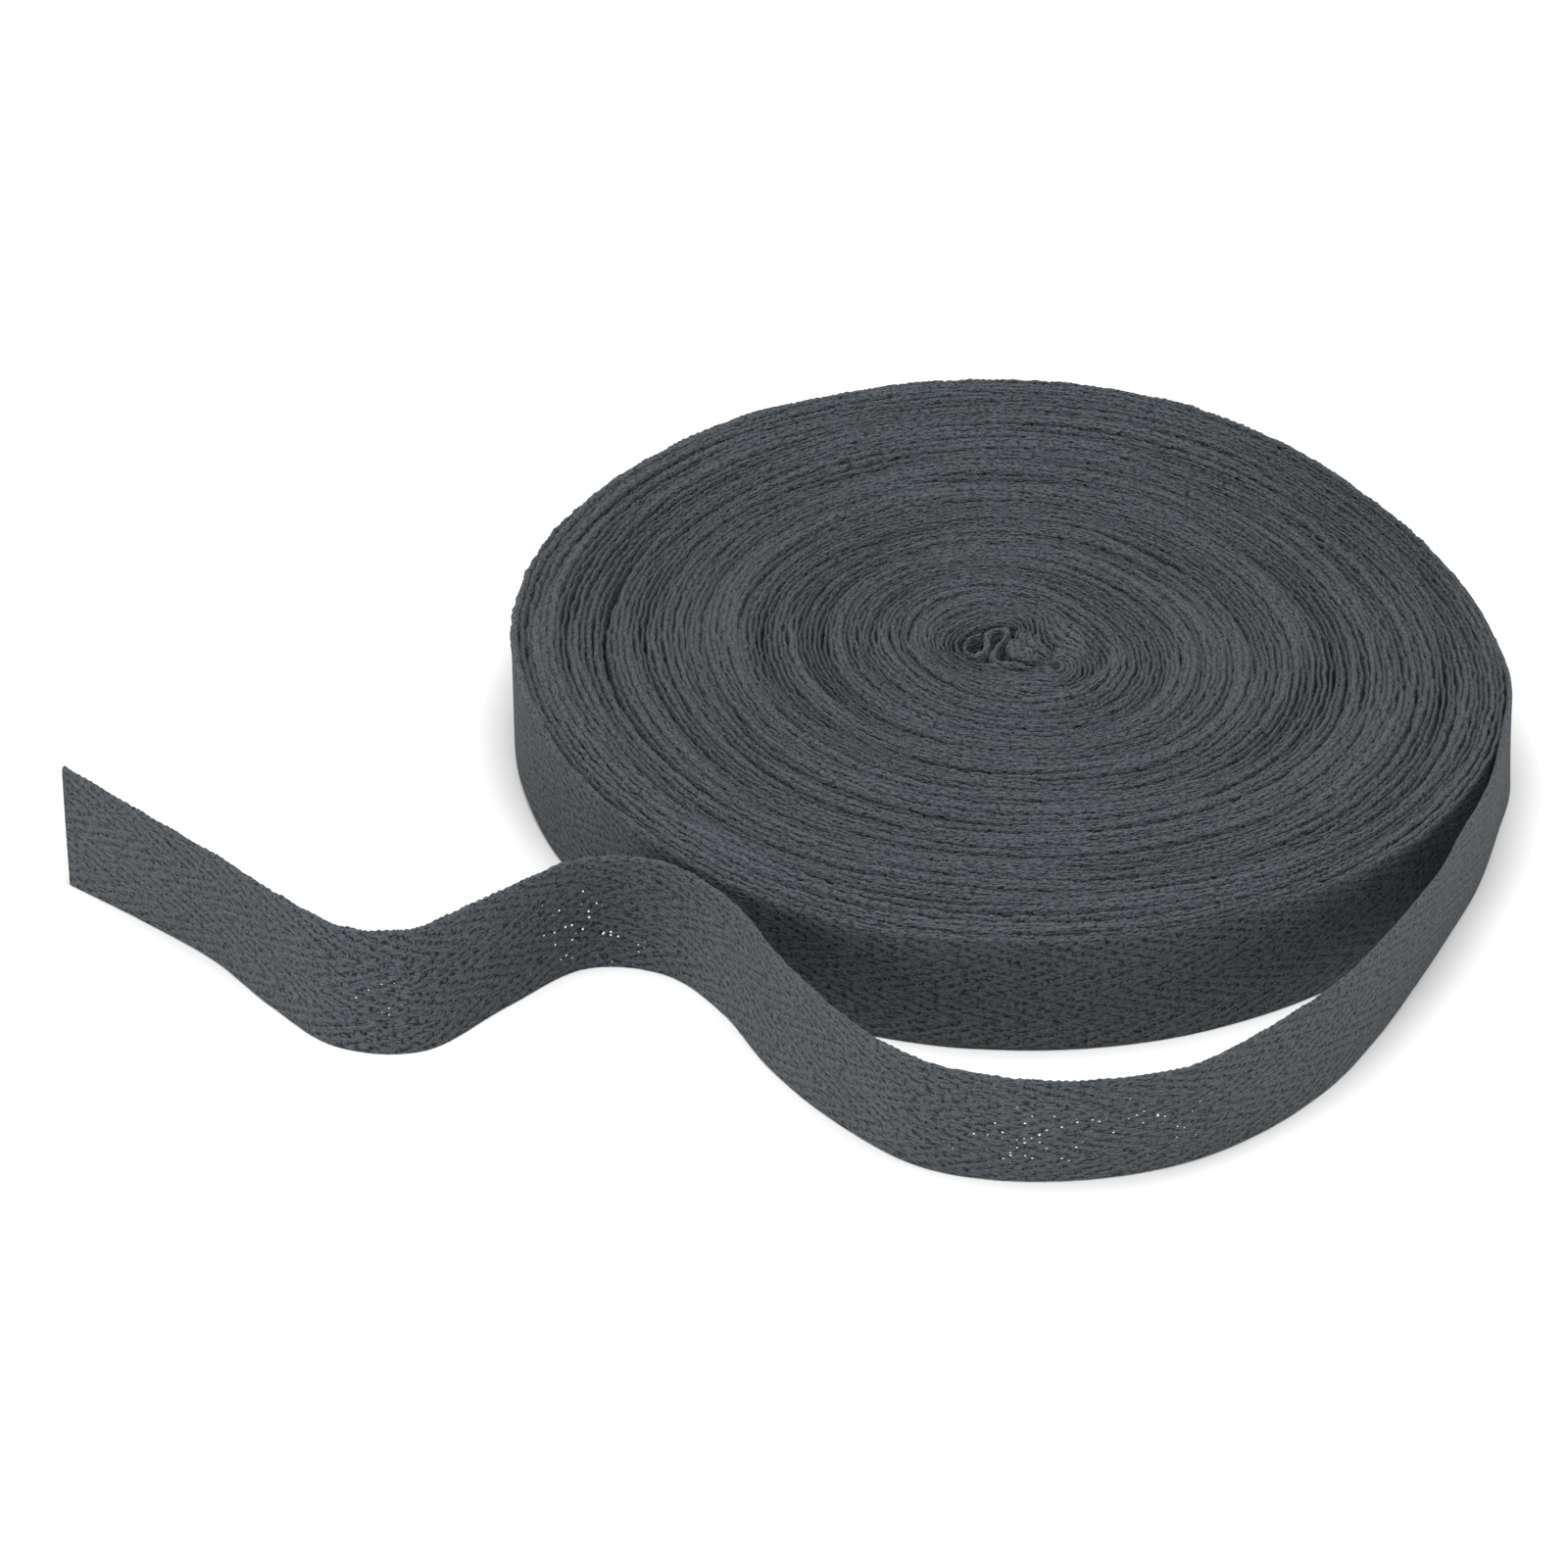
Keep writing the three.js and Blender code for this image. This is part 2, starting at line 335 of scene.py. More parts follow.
def settled_depth(turns):
    """How deep an oval turn lies, so many turns out from the first one."""
    mean_pitch = (outer_depth - SETTLED_DEPTH) / SETTLED_TURNS
    inner_pitch = mean_pitch * (1 - TIGHTENING)
    growth = mean_pitch * TIGHTENING / SETTLED_TURNS
    return SETTLED_DEPTH + inner_pitch * turns + growth * turns**2


outer_depth = ROLL_RADIUS + SOLID_LAYER / 2 - SOLID_THICKNESS / 2

# The turns inside the first oval one lie between it and the first turn round the fold.
start_angle = CORE_TURN[0]["angle"]
core_rows = [(row["angle"], row["x"], row["y"]) for row in CORE_TURN]
core_points = []
for turn in range(CORE_TURNS):
    for angle, x, y in core_rows:
        outward = (turn + (start_angle - angle) / 360) / CORE_TURNS
        settled = turn_point(SETTLED_DEPTH, angle)
        core_points.append((1 - outward) * np.array([x, y]) + outward * settled)
fold_points = [(row["x"], row["y"]) for row in FOLD]

turns = np.arange(0, SETTLED_TURNS, 1 / TURN_STEPS)
turns = np.append(turns, SETTLED_TURNS)
angles = start_angle - 360 * turns
depths = settled_depth(turns)
settled_line = turn_point(depths, angles)

inner_line = catmull(np.vstack([fold_points, core_points, settled_line[:1]]), CORE_STEPS)[:-1]
line = np.vstack([inner_line, settled_line])
inner_turns = np.linspace(-CORE_TURNS - 1, 0, len(inner_line), endpoint=False)
turns = np.concatenate([inner_turns, turns])
centre = np.array(CORE_CENTRE)
inner_angles = np.degrees(np.arctan2(*(inner_line - centre).T[::-1]))
angles = np.degrees(np.unwrap(np.radians(np.concatenate([inner_angles, angles]))))
depths = np.concatenate([np.hypot(*(inner_line - centre).T), depths])

# How far each turn is from the next one.
outward = course(line)[1]
core_turn_steps = CORE_STEPS * len(CORE_TURN)
first_turn = CORE_STEPS * len(FOLD)
last_core = len(inner_line) - core_turn_steps
core_next = line[first_turn + core_turn_steps:len(inner_line)] - line[first_turn:last_core]
core_apart = np.abs(np.sum(core_next * outward[first_turn:last_core], axis=1))
settled_next = settled_line[TURN_STEPS:] - settled_line[:-TURN_STEPS]
settled_apart = np.abs(np.sum(settled_next * outward[len(inner_line):-TURN_STEPS], axis=1))
pitch = np.concatenate([
    np.full(first_turn, FOLD_THICKNESS), core_apart, core_apart[-core_turn_steps:],
    settled_apart, settled_apart[-TURN_STEPS:],
])

# Evenly spaced stations along the tape.
along = way_along(line)
stations_along = np.linspace(0, along[-1], int(along[-1] / STEP) + 1)


def at_stations(values):
    """The values along the line, read off at the stations."""
    return np.interp(stations_along, along, values)


route = np.stack([at_stations(line[:, 0]), at_stations(line[:, 1])], -1)
turns = at_stations(turns)
angles = at_stations(angles)
depths = at_stations(depths)
pitch = at_stations(pitch)
shares = depths / ROLL_RADIUS
turns_left = SETTLED_TURNS - turns

heading, outward = course(route)

# A gap pushes the turns on both sides of it apart, and these sink a little.
whole_turns = np.arange(SETTLED_TURNS)
apart = np.zeros(len(turns))
dip = np.zeros(len(turns))
for gap in GAPS:
    wanted = np.interp(gap["depth"], settled_depth(whole_turns), whole_turns)
    part_turn = ((start_angle - gap["angle"]) / 360) % 1
    boundary = round(wanted - part_turn - 0.5) + part_turn + 0.5
    past = (angles - gap["angle"] + 180) % 360 - 180
    turns_off = turns - (boundary - past / 360)
    window = np.cos(np.pi / 2 * np.clip(past / gap["reach"], -1, 1)) ** 2
    beyond = (np.abs(turns_off) - 0.5).clip(0)
    apart += gap["width"] / 2 * np.sign(turns_off) * window * np.exp(-beyond / GAP_FADE)
    dip += GAP_DIP * gap["width"] * window * np.exp(-beyond)
settled = turns > 0
route += outward * (apart * settled)[:, None]

# Small waves in the turns' course and height, which fade out where the tape leaves the roll.
thickness = np.clip(CLOSENESS * pitch, THINNEST, THICKEST)
last_fade = np.clip(turns_left / LAST_FADE, 0, 1)
last_sway_fade = np.clip(turns_left / LAST_SWAY_FADE, 0, 1)
front = np.maximum(0, -np.sin(np.radians(angles)))
inside_rim = np.clip((turns_left - FRONT_LIFT["rim_turns"]) / FRONT_LIFT["fade_turns"], 0, 1)
lift = FRONT_LIFT["height"] * shares * front ** FRONT_LIFT["sharpness"] * inside_rim
unevenness = np.zeros(len(turns))
for bundle in BUNDLES:
    spots = np.column_stack([depths / bundle["deep"], route / bundle["long"]])
    unevenness += bundle["rise"] * np.array([noise.noise(Vector(spot)) for spot in spots])
bundled = unevenness.copy()
for wave in RISES:
    unevenness += wave["height"] * smooth_noise(stations_along, wave["length"])
foot = np.maximum(0, FOOT + lift + unevenness) * last_fade
sway = np.zeros(len(turns))
for wave in SWAYS:
    sway += wave["width"] * smooth_noise(stations_along, wave["length"])
route += outward * (sway * last_sway_fade)[:, None]
facing = np.maximum(0, np.cos(np.radians(angles - FLARE["towards"]))) ** FLARE["sharpness"]
near_rim = np.clip((shares - FLARE["from_share"]) / (1 - FLARE["from_share"]), 0, 1)
undercut = FLARE["undercut"] * facing * near_rim


def selvage_loops(places):
    """How far the selvage's small loops stand out to either side, each by its own amount."""
    shift = LOOP_SHIFT["swing"] * smooth_noise(places, LOOP_SHIFT["length"])
    size = LOOP_SIZE["mean"] + LOOP_SIZE["swing"] * smooth_noise(places, LOOP_SIZE["length"])
    wander = LOOP_WANDER["swing"] * smooth_noise(places, LOOP_WANDER["length"])
    return size * np.sin(2 * np.pi * (places / LOOP_LENGTH + shift)) + wander


loops = selvage_loops(stations_along)
rises = selvage_loops(stations_along)
pinch = PINCH["mean"] + PINCH["with_bundle"] * bundled
pinch += PINCH["swing"] * smooth_noise(stations_along, PINCH["length"])

# Half the tape's section, from the middle of the upper selvage down the outer face: height,
# and side as a share of half the thickness. The inner face is the same. The few outer turns
# show their faces, so they have more rows.
INNER_HALF = [(20.0, 0.0), (19.77, 0.52), (19.25, 0.9), (0.0, 1.0)]
OUTER_HALF = [
    (20.0, 0.0), (19.77, 0.52), (19.25, 0.9), (18.0, 1.0), (9.5, 1.0), (1.2, 1.0),
    (0.4, 0.9), (0.0, 0.5),
]
SELVAGE_BASE = 19
TOP_ROUND = 0.4
MERGE_DISTANCE = 1e-7


def both_faces(half):
    """The section down the outer face and up the inner one."""
    return half + [(height, -side) for height, side in half[::-1]]


def lay_tape(name, section, place, along):
    """A closed strip of tape whose every cross section stands at a station of its route.
    Its UV map is the tape laid flat, in metres: along it, and across it, which is
    negative on the inner face."""
    columns = len(along) - 1
    rows = len(section) - 1
    strip = bmesh.new()
    bmesh.ops.create_grid(strip, x_segments=columns, y_segments=rows, size=0.5)
    mesh = bpy.data.meshes.new(name)
    strip.to_mesh(mesh)
    spots = np.empty(len(mesh.vertices) * 3)
    mesh.vertices.foreach_get("co", spots)
    column, row = np.rint((spots.reshape(-1, 3)[:, :2] + 0.5) * (columns, rows)).astype(int).T
    mesh.vertices.foreach_set("co", place[column, row].ravel())
    corners = np.empty(len(mesh.loops), int)
    mesh.loops.foreach_get("vertex_index", corners)
    face_row = row[corners].reshape(-1, 4).min(axis=1)
    face_side = np.repeat(np.where(face_row < rows / 2, 1, -1), 4)
    heights, sides = np.array(section).T
    across = heights + TOP_ROUND * (1 - np.abs(sides)) * (heights > SELVAGE_BASE)
    laid_flat = np.stack([along[column[corners]], face_side * across[row[corners]]], -1)
    mesh.uv_layers.new(name="laid_flat").data.foreach_set("uv", (laid_flat * MM).ravel())
    underneath = np.maximum(heights[face_row], heights[face_row + 1]) == 0
    mesh.polygons.foreach_set("use_smooth", ~underneath)
    strip.clear()
    strip.from_mesh(mesh)
    bmesh.ops.remove_doubles(strip, verts=strip.verts, dist=MERGE_DISTANCE)
    rim = [edge for edge in strip.edges if edge.is_boundary]
    bmesh.ops.holes_fill(strip, edges=rim, sides=0)
    bmesh.ops.recalc_face_normals(strip, faces=strip.faces)
    strip.to_mesh(mesh)
    strip.free()
    piece = bpy.data.objects.new(name, mesh)
    bpy.context.scene.collection.objects.link(piece)
    return piece


# The wound tape is laid in lengths that follow on from one another.
OUTER_TURNS = 4
INNER_LENGTHS = 4
outer_start = int(np.searchsorted(turns, SETTLED_TURNS - OUTER_TURNS))
inner_cuts = np.linspace(0, outer_start, INNER_LENGTHS + 1).astype(int)
lengths = [
    {"name": f"wound_tape_{number}", "half": INNER_HALF, "first": first, "last": last}
    for number, (first, last) in enumerate(zip(inner_cuts, inner_cuts[1:]), 1)
]
lengths.append({
    "name": "wound_tape_outer", "half": OUTER_HALF, "first": outer_start, "last": len(turns) - 1,
})
wound_pieces = []
for length in lengths:
    section = both_faces(length["half"])
    part = slice(length["first"], length["last"] + 1)
    place = np.zeros((len(turns[part]), len(section), 3))
    for row, (height, side) in enumerate(section):
        at_top = height > SELVAGE_BASE
        half_width = thickness[part] / 2 * (pinch[part] if at_top else 1)
        aside = side * half_width - undercut[part] * (1 - height / TAPE_WIDTH)
        aside += at_top * LOOP_SWING * loops[part] * last_fade[part]
        rise = LOOP_RISE * (side * loops[part] + (1 - abs(side)) * rises[part]) - dip[part]
        place[:, row, :2] = route[part] + outward[part] * aside[:, None]
        place[:, row, 2] = foot[part] + height + at_top * rise
    piece = lay_tape(length["name"], section, place * MM, stations_along[part])
    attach(piece, "root")
    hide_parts("roll")
    wound_pieces.append(piece)
wound_length = stations_along[-1]

# Herringbone weave
# A 2/2 twill of 52 warp ends that turns back three times across the tape. Each end floats
# over two picks and dives under the next two, with a small pit, deep here and shallow
# there, at each dive's middle. Heights are shares of YARN_RELIEF, and the colour follows
# them as painted shade: darker in the pits and between the ends, lighter on the floats.
END_WIDTH = 0.385
PICK_LENGTH = 1.2
REPEAT = 4.0
BAND_WIDTH = 5.0
BODY_LEVEL = 0.5
FLOAT_HEIGHT = 0.17
END_HEIGHT = 0.26
PIT_LENGTH = 0.38
PIT_HEIGHT = 0.31
PIT_FLOOR = 0.3
PIT_DEPTH = 0.7
SELVAGE_START = 19.3
SELVAGE_END = 19.8
SELVAGE_SLANT = 0.9
# The selvage's level, which also paints the turns' tops lighter, as painted light.
SELVAGE_LEVEL_PAINTED_LIGHT = 0.74
SELVAGE_LOOP_HEIGHT = 0.12
YARN_RELIEF = 0.22

# How uneven the cotton is: the beat and the ends' places, the pits' depths, streaks along the
# tape, fuzz, and clouds in its own colour.
BEAT_GRAIN = {"wavelength": 1.5, "detail": 2, "strength": 2.4}
END_GRAIN = {"wavelength": 1.1, "detail": 2, "strength": 1.1}
PIT_GRAIN = {"wavelength": 1.0, "detail": 1, "strength": 3.6}
STREAK_GRAIN = {"wavelength": 1.1, "detail": 2, "strength": 2.1}
STREAK_NARROWING = 3.2
FUZZ_GRAIN = {"wavelength": 0.4, "detail": 2, "strength": 1.3}
CLOUD_GRAIN = {"wavelength": 17, "detail": 2, "strength": 0.25}

COTTON_COLOUR = (0.0590, 0.0682, 0.0766)
PAINTED_SHADE_LOW = 0.05
PAINTED_SHADE_HIGH = 1.48
COTTON_ROUGHNESS = 0.92
COTTON_SPECULAR = 0.2
COTTON_SHEEN = 0.12
SHEEN_ROUGHNESS = 0.5

weave = bpy.data.node_groups.new("herringbone_weave", "ShaderNodeTree")
for name in ("Laid Flat", "Pinholes"):
    weave.interface.new_socket(name, in_out="INPUT", socket_type="NodeSocketVector")
weave.interface.new_socket("Thinness", in_out="INPUT", socket_type="NodeSocketFloat")
for name in ("Relief", "Shade", "Cover"):
    weave.interface.new_socket(name, in_out="OUTPUT", socket_type="NodeSocketFloat")


def weave_node(kind, settings, *inputs):
    """A node in the weave's group. Each input is another node's output, or a value."""
    node = weave.nodes.new(kind)
    for key, value in settings.items():
        setattr(node, key, value)
    for slot, value in enumerate(inputs):
        if isinstance(value, bpy.types.NodeSocket):
            weave.links.new(value, node.inputs[slot])
        elif value is not None:
            node.inputs[slot].default_value = value
    return node


def calc(operation, *inputs):
    """A sum, product or the like of the inputs."""
    return weave_node("ShaderNodeMath", {"operation": operation}, *inputs).outputs[0]


def smooth_step(value, start, end, low, high):
    """An even change from low to high while the value goes from start to end."""
    settings = {"interpolation_type": "SMOOTHSTEP"}
    return weave_node("ShaderNodeMapRange", settings, value, start, end, low, high).outputs[0]


def grain(coordinates, wavelength, detail, strength):
    """Uneven noise about zero, whose main bumps are a wavelength long."""
    settings = {"noise_dimensions": "2D"}
    texture = weave_node("ShaderNodeTexNoise", settings, coordinates)
    texture.inputs["Scale"].default_value = 1 / wavelength
    texture.inputs["Detail"].default_value = detail
    return calc("MULTIPLY", calc("SUBTRACT", texture.outputs["Fac"], 0.5), strength)


def in_millimetres(place):
    """A place on a map in metres, in millimetres."""
    scaled = weave_node("ShaderNodeVectorMath", {"operation": "SCALE"}, place)
    scaled.inputs["Scale"].default_value = 1 / MM
    return scaled.outputs[0]


weave_in = weave_node("NodeGroupInput", {})
weave_out = weave_node("NodeGroupOutput", {})
laid = in_millimetres(weave_in.outputs["Laid Flat"])
flat_parts = weave_node("ShaderNodeSeparateXYZ", {}, laid)
across_flat = calc("ABSOLUTE", flat_parts.outputs["Y"])
along_mm = calc("ADD", flat_parts.outputs["X"], grain(laid, **BEAT_GRAIN))
across_mm = calc("ADD", across_flat, grain(laid, **END_GRAIN))
inner_face = calc("LESS_THAN", flat_parts.outputs["Y"], 0.0)

# Each pit lies between two picks, a repeat of ends from the next one at the same place. On
# the inner face it lies half a repeat further on.
picks = calc("DIVIDE", along_mm, PICK_LENGTH)
nearest_pick = calc("FLOOR", calc("ADD", picks, 0.5))
from_pick = calc("MULTIPLY", calc("ABSOLUTE", calc("SUBTRACT", picks, nearest_pick)), PICK_LENGTH)
ends = calc("DIVIDE", calc("PINGPONG", across_mm, BAND_WIDTH), END_WIDTH)
other_half = calc("MULTIPLY", inner_face, 0.5)
pit_repeats = calc("DIVIDE", calc("ADD", nearest_pick, ends), REPEAT)
pit_phase = calc("FRACT", calc("ADD", pit_repeats, other_half))
from_middle = calc("ABSOLUTE", calc("SUBTRACT", pit_phase, 0.5))
from_end = calc("MULTIPLY", from_middle, REPEAT * END_WIDTH)
pit_along = smooth_step(from_pick, PIT_FLOOR * PIT_LENGTH, PIT_LENGTH, 1.0, 0.0)
pit_across = smooth_step(from_end, PIT_FLOOR * PIT_HEIGHT, PIT_HEIGHT, 1.0, 0.0)
pit_deep = calc("MAXIMUM", calc("ADD", grain(laid, **PIT_GRAIN), PIT_DEPTH), 0.0)
pit = calc("MULTIPLY", calc("MULTIPLY", pit_along, pit_across), pit_deep)

# Each end floats over two picks, in the half of its cycle away from its pit.
steps_up = calc("FLOOR", ends)
end_repeats = calc("DIVIDE", calc("ADD", picks, steps_up), REPEAT)
end_phase = calc("FRACT", calc("ADD", end_repeats, other_half))
floating = calc("COSINE", calc("MULTIPLY", end_phase, 2 * math.pi))
float_wave = calc("MULTIPLY", floating, FLOAT_HEIGHT)
roundness = calc("SINE", calc("MULTIPLY", calc("FRACT", ends), math.pi))
end_ridge = calc("MULTIPLY", roundness, END_HEIGHT)
body = calc("SUBTRACT", calc("ADD", calc("ADD", float_wave, end_ridge), BODY_LEVEL), pit)

# Over the upper selvage the picks turn back in slanting loops. There the colour is painted
# lighter, as painted light on the turns' tops, and darker between the loops, as painted shade.
loops_along = calc("ADD", along_mm, calc("MULTIPLY", flat_parts.outputs["Y"], SELVAGE_SLANT))
loop_wave = calc("SINE", calc("MULTIPLY", loops_along, 2 * math.pi / PICK_LENGTH))
loop_top = calc("MULTIPLY_ADD", loop_wave, SELVAGE_LOOP_HEIGHT, SELVAGE_LEVEL_PAINTED_LIGHT)
in_selvage = smooth_step(across_flat, SELVAGE_START, SELVAGE_END, 0.0, 1.0)
relief = weave_node("ShaderNodeMix", {"data_type": "FLOAT"}, in_selvage)
weave.links.new(body, relief.inputs["A"])
weave.links.new(loop_top, relief.inputs["B"])
lengthwise = weave_node("ShaderNodeVectorMath", {"operation": "MULTIPLY"}, laid)
lengthwise.inputs[1].default_value = (1, STREAK_NARROWING, 1)
fibres = calc("ADD", grain(lengthwise.outputs[0], **STREAK_GRAIN), grain(laid, **FUZZ_GRAIN))
relief_all = calc("ADD", relief.outputs[0], fibres)
# The heights become the colour's shade. This is painted shade: darker in the pits, between the
# ends and between the selvage's loops, lighter on the floats and the selvage's tops, along with
# the fuzz and streaks. The clouds then add the cotton's own uneven tone.
painted_shade_range = (0.0, 1.0, PAINTED_SHADE_LOW, PAINTED_SHADE_HIGH)
shade = weave_node("ShaderNodeMapRange", {"clamp": True}, relief_all, *painted_shade_range)
painted_shade_and_clouds = calc("ADD", shade.outputs[0], grain(laid, **CLOUD_GRAIN))
weave.links.new(relief_all, weave_out.inputs["Relief"])
weave.links.new(painted_shade_and_clouds, weave_out.inputs["Shade"])

# Here and there light comes through between the yarns, where the cloth is thin.
HOLE_SPACING = 1.05
HOLE_RADIUS = 0.19
HOLE_GROWTH = 1.1
pinholes = in_millimetres(weave_in.outputs["Pinholes"])
cells = weave_node("ShaderNodeTexVoronoi", {"voronoi_dimensions": "2D"}, pinholes)
cells.inputs["Scale"].default_value = 1 / HOLE_SPACING
lot = weave_node("ShaderNodeSeparateXYZ", {}, cells.outputs["Color"]).outputs[0]
opening = calc("MULTIPLY", calc("SUBTRACT", weave_in.outputs["Thinness"], lot), HOLE_GROWTH)
radius = calc("MINIMUM", opening, HOLE_RADIUS / HOLE_SPACING)
covered = calc("GREATER_THAN", cells.outputs["Distance"], radius)
weave.links.new(covered, weave_out.inputs["Cover"])

cotton = bpy.data.materials.new("slate_cotton")
cotton.use_nodes = True
nodes = cotton.node_tree.nodes
links = cotton.node_tree.links
shader = nodes["Principled BSDF"]
shader.inputs["Roughness"].default_value = COTTON_ROUGHNESS
shader.inputs["Specular IOR Level"].default_value = COTTON_SPECULAR
shader.inputs["Sheen Weight"].default_value = COTTON_SHEEN
shader.inputs["Sheen Roughness"].default_value = SHEEN_ROUGHNESS
laid_flat = nodes.new("ShaderNodeUVMap")
laid_flat.uv_map = "laid_flat"
pinhole_map = nodes.new("ShaderNodeUVMap")
pinhole_map.uv_map = "pinholes"
thin_places = nodes.new("ShaderNodeAttribute")
thin_places.attribute_name = "thinness"
weave_use = nodes.new("ShaderNodeGroup")
weave_use.node_tree = weave
links.new(laid_flat.outputs[0], weave_use.inputs["Laid Flat"])
links.new(pinhole_map.outputs[0], weave_use.inputs["Pinholes"])
links.new(thin_places.outputs["Fac"], weave_use.inputs["Thinness"])
# The cotton's own colour, darkened and lightened by the weave's painted shade and its clouds.
dye_and_painted_shade = nodes.new("ShaderNodeVectorMath")
dye_and_painted_shade.operation = "SCALE"
dye_and_painted_shade.inputs[0].default_value = COTTON_COLOUR
links.new(weave_use.outputs["Shade"], dye_and_painted_shade.inputs["Scale"])
links.new(dye_and_painted_shade.outputs[0], shader.inputs["Base Color"])
links.new(weave_use.outputs["Cover"], shader.inputs["Alpha"])
bump = nodes.new("ShaderNodeBump")
bump.inputs["Distance"].default_value = YARN_RELIEF * MM
links.new(weave_use.outputs["Relief"], bump.inputs["Height"])
links.new(bump.outputs[0], shader.inputs["Normal"])
for piece in wound_pieces:
    piece.data.materials.append(cotton)

# Loose end
# The same tape's last stretch, from where it leaves the roll to its clean cut. It stands on
# the table on its lower selvage and leans a little, as its stations say.
LOOSE_END_STATIONS = [
    {"x": 77.5, "y": -7.5, "lean": 1},
    {"x": 75.0, "y": -21, "lean": -3},
    {"x": 71.5, "y": -35, "lean": -6},
    {"x": 66.5, "y": -48, "lean": -7},
    {"x": 61.0, "y": -61, "lean": -8},
    {"x": 55.0, "y": -74, "lean": -6},
    {"x": 48.0, "y": -86, "lean": -5},
    {"x": 38.0, "y": -97, "lean": -5},
    {"x": 26.0, "y": -105, "lean": -9},
    {"x": 12.0, "y": -109, "lean": -8},
    {"x": -2.0, "y": -109, "lean": -5},
    {"x": -14.0, "y": -104.8, "lean": -2},
    {"x": -25.7, "y": -93.8, "lean": 1},
    {"x": -34.7, "y": -81.5, "lean": 4},
    {"x": -42.0, "y": -67.5, "lean": 4},
    {"x": -51.0, "y": -57.5, "lean": 2},
    {"x": -63.5, "y": -56, "lean": 1},
    {"x": -75.0, "y": -66, "lean": 4},
    {"x": -86.5, "y": -77, "lean": 11},
    {"x": -99.5, "y": -76, "lean": 9},
    {"x": -110.0, "y": -65.5, "lean": 4},
    {"x": -119.0, "y": -54, "lean": 0},
    {"x": -130.0, "y": -44, "lean": 1},
    {"x": -142.3, "y": -34, "lean": 5},
]
LEAVING_GAP = 0.03
CURVE_STEPS = 60
LOOSE_STEP = 0.3
FACE_ROWS = 14
FACE_MARGIN = 0.7
CUT_SLANT = {"at_top": 2, "from_end": 30}
LOOSE_LOOP_HEIGHT = 0.17
EDGE_SHARPNESS = 8
BULGE = {"swing": 0.25, "length": 19}
TOP_RIPPLE = {"swing": 0.16, "length": 9}
RIPPLES_START = 12

# Where the cloth is thin: the middle and half length of the place along the loose end, the
# height of its middle, and its share of holes. These run straight back and down through it.
THIN_PLACES = [
    {"along": 139, "reach": 32, "height": 8.5, "share": 0.27},
    {"along": 241, "reach": 12, "height": 8.0, "share": 0.45},
    {"along": 277, "reach": 13, "height": 9.0, "share": 0.16},
]
THIN_HALF_HEIGHT = 8
THIN_EDGE = 1.3
LEAST_FACING = 0.3
HOLE_DROP = 0.68

leaving = route[-1] - outward[-1] * undercut[-1] + heading[-1] * LEAVING_GAP
leaving_lean = -math.degrees(math.asin(undercut[-1] / TAPE_WIDTH))
loose_points = [(leaving[0], leaving[1], leaving_lean)]
loose_points += [(row["x"], row["y"], row["lean"]) for row in LOOSE_END_STATIONS]
loose_line = catmull(loose_points, CURVE_STEPS)
loose_along = way_along(loose_line)
loose_stations = np.linspace(0, loose_along[-1], int(loose_along[-1] / LOOSE_STEP) + 1)
loose_route = np.stack(
    [np.interp(loose_stations, loose_along, loose_line[:, axis]) for axis in range(3)], -1
)
loose_heading, loose_outward = course(loose_route[:, :2])
loose_lean = np.radians(loose_route[:, 2])

# Its section is closed at both selvages, and its faces have rows enough to bulge and ripple.
face_heights = np.linspace(TAPE_WIDTH - FACE_MARGIN, FACE_MARGIN, FACE_ROWS)
loose_half = [(20.0, 0.0), (19.9, 0.5), (19.65, 0.9)]
loose_half += [(height, 1.0) for height in face_heights]
loose_half += [(0.35, 0.9), (0.1, 0.5), (0.0, 0.0)]
loose_section = loose_half + [(height, -side) for height, side in loose_half[-2::-1]]

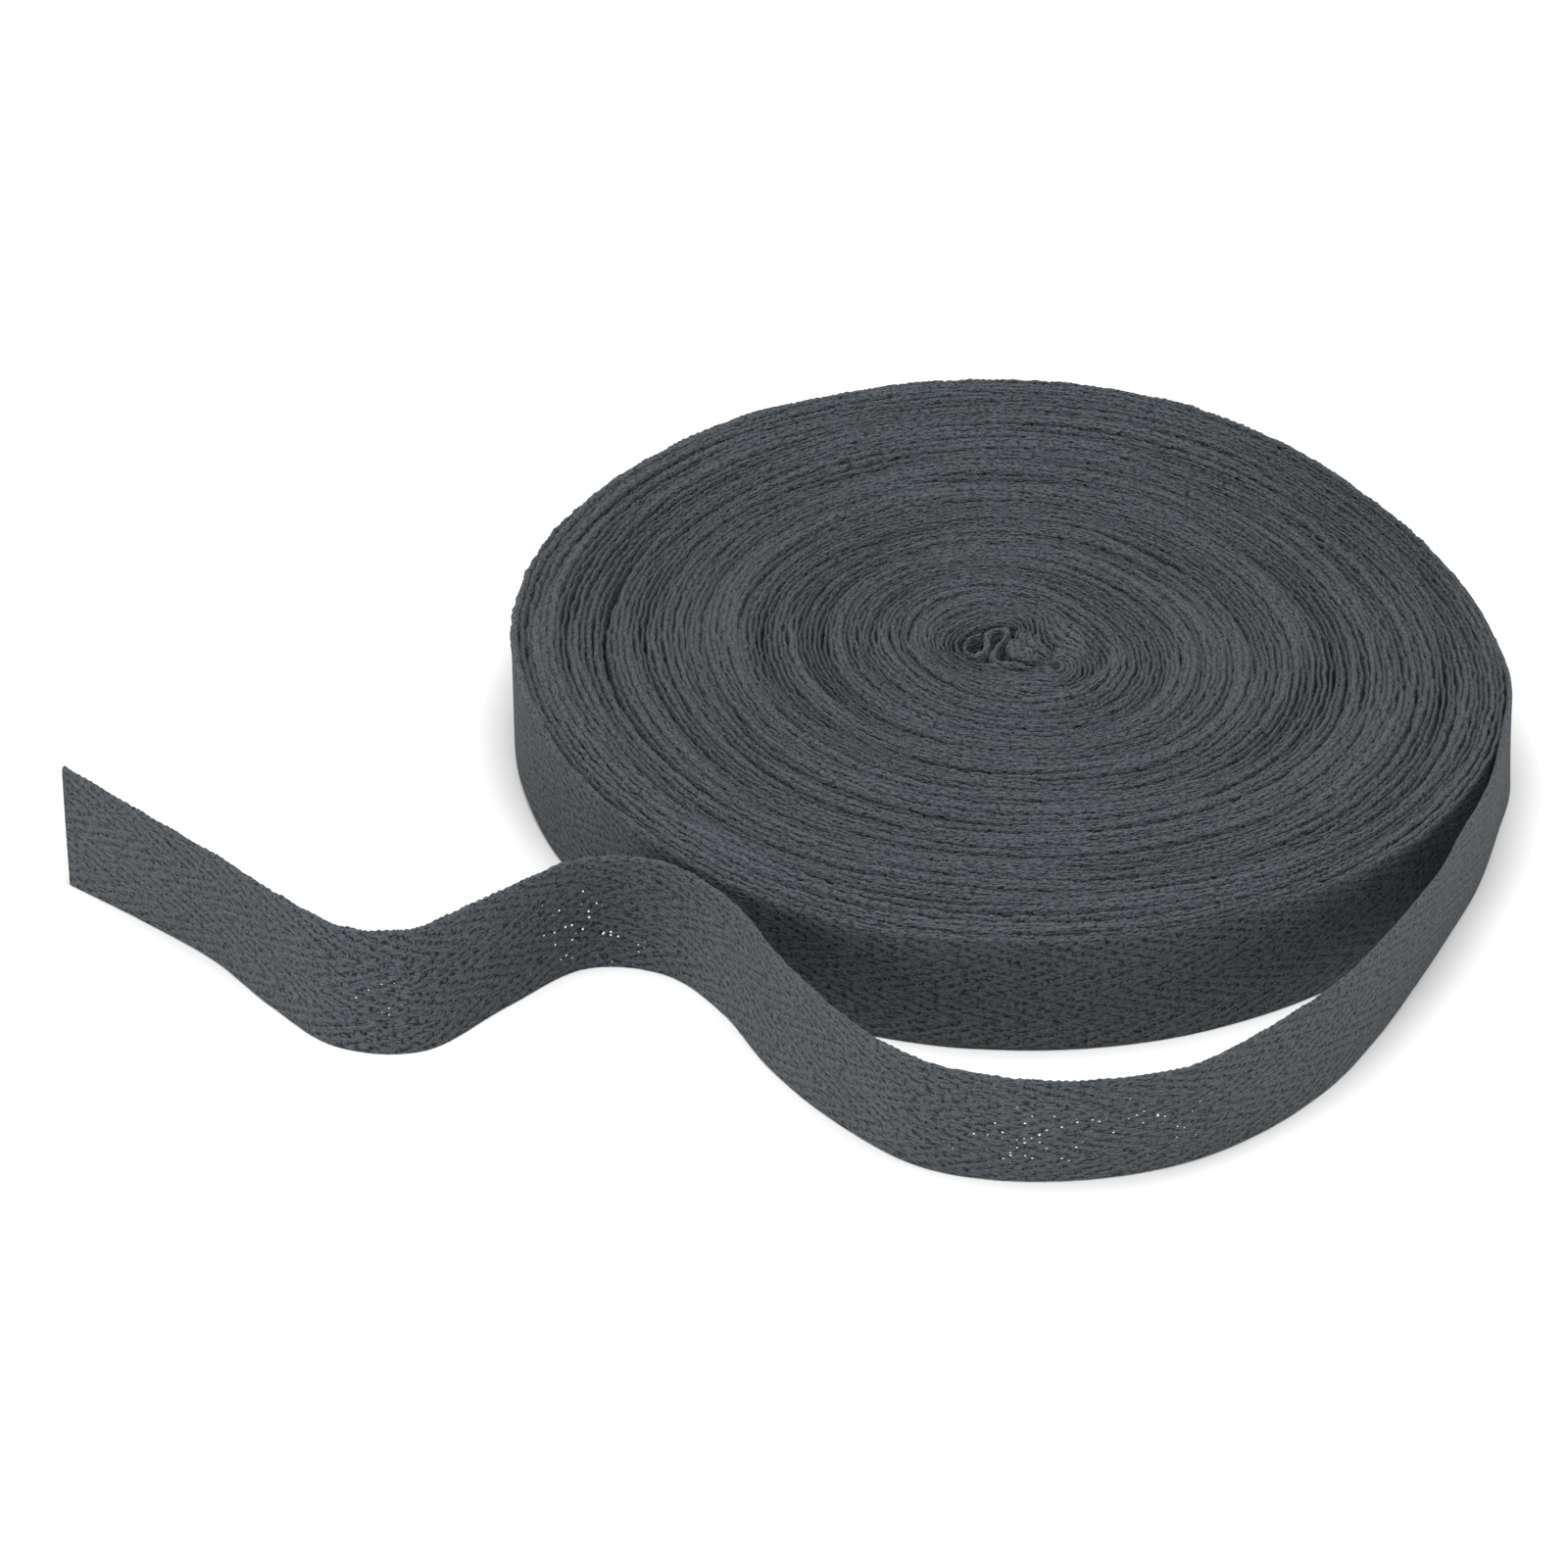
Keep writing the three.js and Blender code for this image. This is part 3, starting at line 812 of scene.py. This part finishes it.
place = np.zeros((len(loose_stations), len(loose_section), 3))
upper_loops = selvage_loops(loose_stations)
lower_loops = selvage_loops(loose_stations)
bulge = BULGE["swing"] * smooth_noise(loose_stations, BULGE["length"])
top_ripple = TOP_RIPPLE["swing"] * smooth_noise(loose_stations, TOP_RIPPLE["length"])
ripples_fade = np.clip(loose_stations / RIPPLES_START, 0, 1)
near_cut = np.clip((loose_stations - loose_stations[-1]) / CUT_SLANT["from_end"] + 1, 0, 1)
for row, (height, side) in enumerate(loose_section):
    share = height / TAPE_WIDTH
    edge = abs(2 * share - 1) ** EDGE_SHARPNESS
    edge_loops = upper_loops if share > 0.5 else -0.5 * (1 + lower_loops)
    width_now = height + LOOSE_LOOP_HEIGHT * edge_loops * edge
    ripples = ripples_fade * (bulge * math.sin(math.pi * share) + top_ripple * share)
    aside = side * TAPE_THICKNESS / 2 + ripples - width_now * np.sin(loose_lean)
    slant = CUT_SLANT["at_top"] * share * near_cut
    place[:, row, :2] = loose_route[:, :2] + loose_outward * aside[:, None]
    place[:, row, :2] += loose_heading * slant[:, None]
    place[:, row, 2] = np.maximum(0, width_now * np.cos(loose_lean))
loose_tape = lay_tape("loose_tape", loose_section, place * MM, wound_length + loose_stations)
loose_tape.data.materials.append(cotton)

# The pinholes' own map is the tape laid flat, too, but shifted on the inner face.
corners = np.empty(len(loose_tape.data.loops) * 2)
loose_tape.data.uv_layers["laid_flat"].data.foreach_get("uv", corners)
corner_along, corner_across = corners.reshape(-1, 2).T / MM
corner_height = np.abs(corner_across)
thinness = np.zeros(len(corner_along))
for thin in THIN_PLACES:
    off_along = (corner_along - wound_length - thin["along"]) / thin["reach"]
    off_across = (corner_height - thin["height"]) / THIN_HALF_HEIGHT
    here = np.clip(THIN_EDGE - np.hypot(off_along, off_across), 0, 1)
    thinness += thin["share"] * here
way_through = TAPE_THICKNESS / np.abs(loose_heading[:, 0]).clip(LEAST_FACING)
backwards = way_through * loose_heading[:, 1]
downwards = HOLE_DROP * way_through
on_inner_face = corner_across < 0
hole_along = corner_along - wound_length
shift_along = np.interp(hole_along, loose_stations, backwards) * on_inner_face
shift_across = np.interp(hole_along, loose_stations, downwards) * on_inner_face
hole_map = np.stack([hole_along - shift_along, corner_height + shift_across], -1) * MM
loose_tape.data.uv_layers.new(name="pinholes").data.foreach_set("uv", hole_map.ravel())
loose_tape.data.attributes.new("thinness", "FLOAT", "CORNER").data.foreach_set("value", thinness)

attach(loose_tape, "root")
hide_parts("loose_end")
